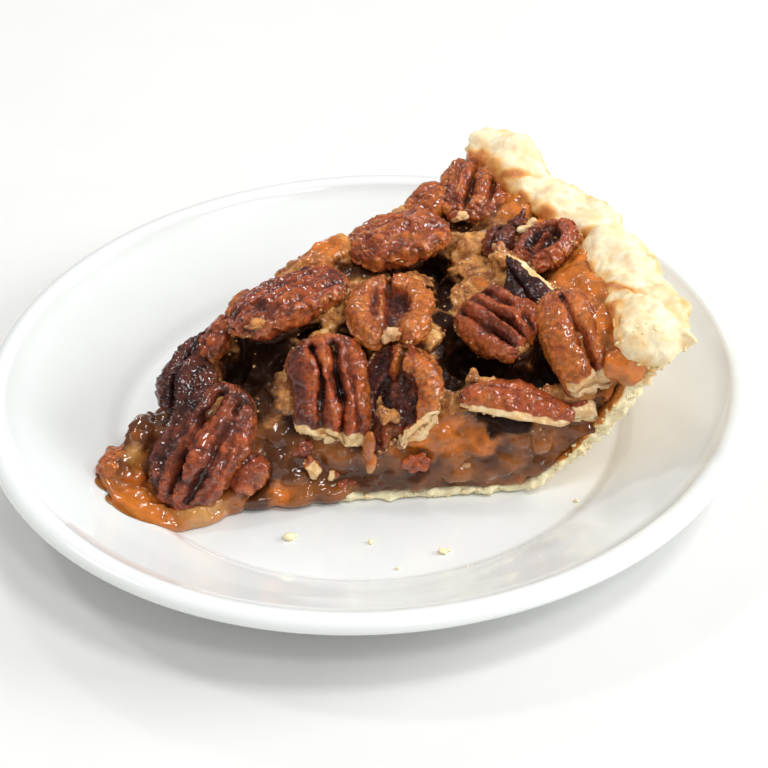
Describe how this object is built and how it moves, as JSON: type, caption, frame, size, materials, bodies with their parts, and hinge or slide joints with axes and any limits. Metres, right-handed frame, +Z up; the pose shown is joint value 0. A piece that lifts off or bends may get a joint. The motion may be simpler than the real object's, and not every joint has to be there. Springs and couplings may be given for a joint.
{
  "type": "slice of pecan pie on a plate",
  "caption": "Wedge of pecan pie with a pinched pastry rim, caramel filling and whole pecan halves, served on a round white side plate.",
  "frame": {"origin": "on the surface the plate stands on, under the middle of the plate", "axes": "+Z up, +X along the near cut from the point of the slice towards its crust, +Y across the plate towards the far cut"},
  "size_m": [0.16, 0.16, 0.0449],
  "materials": {
    "plate_glaze": "gloss",
    "baked_crust": "matte",
    "caramel_filling": "gloss",
    "clear_caramel": "gloss",
    "pecan_skin": "satin"
  },
  "bodies": {
    "root": {"plate": "plate_glaze", "crust": "baked_crust", "filling": "caramel_filling", "caramel_ooze": "clear_caramel", "pecan_01": "pecan_skin", "pecan_02": "pecan_skin", "pecan_03": "pecan_skin", "pecan_04": "pecan_skin", "pecan_05": "pecan_skin", "pecan_06": "pecan_skin", "pecan_07": "pecan_skin", "pecan_08": "pecan_skin", "pecan_09": "pecan_skin", "pecan_10": "pecan_skin", "pecan_11": "pecan_skin", "pecan_12": "pecan_skin", "pecan_13": "pecan_skin", "pecan_14": "pecan_skin", "pecan_15": "pecan_skin", "pecan_16": "pecan_skin", "pecan_17": "pecan_skin", "pecan_18": "pecan_skin", "pecan_19": "pecan_skin", "pecan_20": "pecan_skin", "pecan_21": "pecan_skin"}
  },
  "joints": []
}
